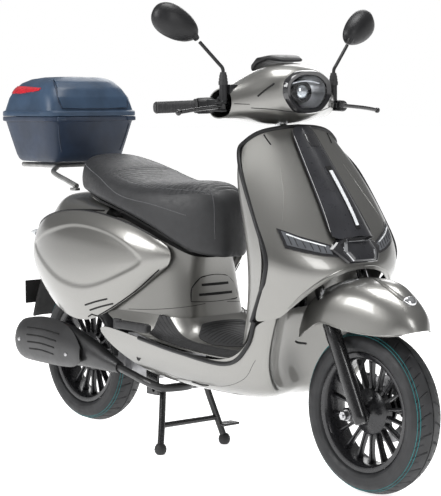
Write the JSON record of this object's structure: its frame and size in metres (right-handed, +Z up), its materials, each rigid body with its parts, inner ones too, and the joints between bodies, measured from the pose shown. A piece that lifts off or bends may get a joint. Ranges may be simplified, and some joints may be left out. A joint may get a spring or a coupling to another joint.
{
  "type": "moped scooter",
  "caption": "Step-through retro moped scooter with leg shield, single seat, top case on a rear rack, side exhaust and centre stand.",
  "frame": {"origin": "on the ground under the middle of the overall length, in the plane midway between the wheels' sides", "axes": "+X forward, +Y to the rider's left, +Z up"},
  "size_m": [1.844, 0.8382, 1.3516],
  "materials": {
    "body_silver": "metallic silver paint under clear lacquer",
    "gloss_black": "gloss",
    "satin_black": "fine grain",
    "red_plastic": "gloss",
    "lens_red": "clear gloss",
    "lens_clear": "clear gloss",
    "black_alloy": "satin black paint",
    "black_steel": "satin black paint",
    "shield_plastic": "satin",
    "bright_steel": "satin",
    "rack_grey": "satin grey paint",
    "cast_engine": "cast",
    "rubber_black": "ribbed",
    "tyre_rubber": "moulded tread",
    "seat_vinyl": "grained vinyl",
    "case_blue": "fine texture"
  },
  "bodies": {
    "scooter": {"main_frame": "black_steel", "front_apron": "body_silver", "inner_leg_shield": "body_silver", "center_tie": "gloss_black", "footboard": "body_silver", "lower_fairing": "body_silver", "seat_tower": "body_silver", "side_cowl_right": "body_silver", "side_cowl_left": "body_silver", "tail_body": "body_silver", "tail_light": "lens_red", "rear_mudguard": "satin_black", "luggage_bucket": "satin_black", "fuel_tank": "satin_black", "rear_rack": "rack_grey", "case_base": "case_blue"},
    "steering": {"steering_stem": "bright_steel", "handlebar": "black_steel", "headset_cover": "body_silver", "headlight_lens": "lens_clear", "instrument_cluster": "gloss_black", "grip_left": "rubber_black", "switch_housing_left": "satin_black", "switch_housing_right": "satin_black", "front_fender": "body_silver", "front_brake_hose": "rubber_black"},
    "front_suspension": {"fork_lowers": "black_alloy", "brake_caliper": "black_alloy"},
    "front_wheel": {"front_tyre": "tyre_rubber", "front_rim": "black_alloy", "brake_disc": "bright_steel"},
    "throttle": {"throttle_grip": "rubber_black"},
    "lever_left": {"brake_lever_left": "black_alloy"},
    "lever_right": {"brake_lever_right": "black_alloy"},
    "mirror_stem_left": {"mirror_stem_left": "black_steel"},
    "mirror_stem_right": {"mirror_stem_right": "black_steel"},
    "mirror_head_left": {"mirror_head_left": "satin_black"},
    "mirror_head_right": {"mirror_head_right": "satin_black"},
    "starter_button": {"starter_button": "red_plastic"},
    "horn_button": {"horn_button": "satin_black"},
    "turn_switch": {"turn_switch": "satin_black"},
    "ignition": {"ignition_key": "bright_steel"},
    "seat": {"seat_base": "satin_black", "seat_cushion": "seat_vinyl"},
    "fuel_cap": {"fuel_cap": "satin_black"},
    "case_lid": {"case_lid": "case_blue"},
    "case_lock": {"case_lock": "satin_black"},
    "engine": {"engine_case": "cast_engine", "cylinder_head": "cast_engine", "muffler": "black_steel", "heat_shield": "shield_plastic"},
    "rear_wheel": {"rear_tyre": "tyre_rubber", "rear_rim": "black_alloy"},
    "kick_lever": {"kick_lever": "bright_steel"},
    "shock_upper": {"shock_upper": "bright_steel"},
    "shock_lower": {"shock_lower": "bright_steel", "shock_spring": "bright_steel"},
    "stand": {"center_stand": "black_steel"},
    "peg_left": {"passenger_peg_left": "rubber_black"},
    "peg_right": {"passenger_peg_right": "rubber_black"}
  },
  "joints": [
    {"name": "steering", "type": "hinge", "parent": "scooter", "child": "steering", "pos_m": [0.41625, 0, 0.8], "axis": [-0.4384, 0, 0.8988], "range_deg": [-35, 35]},
    {"name": "fork_travel", "type": "slide", "parent": "steering", "child": "front_suspension", "axis": [-0.4384, 0, 0.8988], "range_m": [0, 0.07], "stiffness_N_per_m": 8000, "springref_m": -0.045},
    {"name": "front_wheel_spin", "type": "hinge", "parent": "front_suspension", "child": "front_wheel", "pos_m": [0.6925, 0, 0.2295], "axis": [0, 1, 0], "continuous": true},
    {"name": "brake_lever_left", "type": "hinge", "parent": "steering", "child": "lever_left", "pos_m": [0.3215, 0.226, 1.064], "axis": [0, 0, 1], "range_deg": [0, 20], "stiffness_Nm_per_rad": 0.8, "springref_deg": -11.46},
    {"name": "brake_lever_right", "type": "hinge", "parent": "steering", "child": "lever_right", "pos_m": [0.3215, -0.226, 1.064], "axis": [0, 0, -1], "range_deg": [0, 20], "stiffness_Nm_per_rad": 0.8, "springref_deg": -11.46},
    {"name": "throttle", "type": "hinge", "parent": "steering", "child": "throttle", "pos_m": [0.2515, -0.195, 1.068], "axis": [-0.3415, -0.9392, -0.0342], "range_deg": [0, 75], "stiffness_Nm_per_rad": 0.3, "springref_deg": -11.46},
    {"name": "mirror_left_swivel", "type": "hinge", "parent": "steering", "child": "mirror_stem_left", "pos_m": [0.3085, 0.211, 1.128], "axis": [0, 0, 1], "range_deg": [-30, 30]},
    {"name": "mirror_right_swivel", "type": "hinge", "parent": "steering", "child": "mirror_stem_right", "pos_m": [0.3085, -0.211, 1.128], "axis": [0, 0, -1], "range_deg": [-30, 30]},
    {"name": "mirror_left_tilt", "type": "hinge", "parent": "mirror_stem_left", "child": "mirror_head_left", "pos_m": [0.2915, 0.288, 1.249], "axis": [0, 1, 0], "range_deg": [-12, 12]},
    {"name": "mirror_right_tilt", "type": "hinge", "parent": "mirror_stem_right", "child": "mirror_head_right", "pos_m": [0.2915, -0.288, 1.249], "axis": [0, 1, 0], "range_deg": [-12, 12]},
    {"name": "starter_button", "type": "slide", "parent": "steering", "child": "starter_button", "axis": [0.8813, -0.3074, -0.3588], "range_m": [0, 0.0025], "stiffness_N_per_m": 300, "springref_m": -0.002},
    {"name": "horn_button", "type": "slide", "parent": "steering", "child": "horn_button", "axis": [0.8813, 0.3074, -0.3588], "range_m": [0, 0.0025], "stiffness_N_per_m": 300, "springref_m": -0.002},
    {"name": "turn_switch", "type": "slide", "parent": "steering", "child": "turn_switch", "axis": [-0.3415, 0.9392, -0.0342], "range_m": [-0.0045, 0.0045]},
    {"name": "ignition_key", "type": "hinge", "parent": "scooter", "child": "ignition", "pos_m": [0.3115, -0.075, 0.89], "axis": [-1, 0, 0], "range_deg": [-45, 60]},
    {"name": "seat_hinge", "type": "hinge", "parent": "scooter", "child": "seat", "pos_m": [0.0635, 0, 0.613], "axis": [0, 1, 0], "range_deg": [0, 60]},
    {"name": "fuel_cap", "type": "hinge", "parent": "scooter", "child": "fuel_cap", "pos_m": [-0.4965, 0, 0.742], "axis": [0, 0, 1], "range_deg": [0, 90]},
    {"name": "case_lid_hinge", "type": "hinge", "parent": "scooter", "child": "case_lid", "pos_m": [-0.594, 0, 1.0295], "axis": [0, 1, 0], "range_deg": [0, 75]},
    {"name": "case_lock", "type": "hinge", "parent": "case_lid", "child": "case_lock", "pos_m": [-0.9175, 0, 1.038], "axis": [-1, 0, 0], "range_deg": [0, 90]},
    {"name": "engine_swing", "type": "hinge", "parent": "scooter", "child": "engine", "pos_m": [-0.1565, 0, 0.315], "axis": [0, 1, 0], "range_deg": [0, 5.5], "stiffness_Nm_per_rad": 3500, "springref_deg": -2.86},
    {"name": "rear_wheel_spin", "type": "hinge", "parent": "engine", "child": "rear_wheel", "pos_m": [-0.6265, 0, 0.2515], "axis": [0, 1, 0], "continuous": true},
    {"name": "kick_lever", "type": "hinge", "parent": "engine", "child": "kick_lever", "pos_m": [-0.3265, 0.155, 0.262], "axis": [0, -1, 0], "range_deg": [0, 45], "stiffness_Nm_per_rad": 2, "springref_deg": -22.92},
    {"name": "shock_hinge", "type": "hinge", "parent": "scooter", "child": "shock_upper", "pos_m": [-0.5815, 0.118, 0.6], "axis": [0, 1, 0], "range_deg": [0, 1.94]},
    {"name": "shock_travel", "type": "slide", "parent": "shock_upper", "child": "shock_lower", "axis": [0.247, 0, 0.969], "range_m": [0, 0.0473], "deforming": ["shock_spring"]},
    {"name": "center_stand", "type": "hinge", "parent": "scooter", "child": "stand", "pos_m": [-0.1415, 0, 0.195], "axis": [0, 1, 0], "range_deg": [0, 80], "stiffness_Nm_per_rad": 4, "springref_deg": -17.19},
    {"name": "peg_left", "type": "hinge", "parent": "scooter", "child": "peg_left", "pos_m": [-0.1965, 0.219, 0.404], "axis": [0, 0, 1], "range_deg": [0, 90]},
    {"name": "peg_right", "type": "hinge", "parent": "scooter", "child": "peg_right", "pos_m": [-0.1965, -0.219, 0.404], "axis": [0, 0, -1], "range_deg": [0, 90]}
  ],
  "couplings": [
    {"joint": "shock_hinge", "follows": "engine_swing", "ratio": 0.31717},
    {"joint": "shock_travel", "follows": "engine_swing", "m_per_rad": 0.48485}
  ]
}
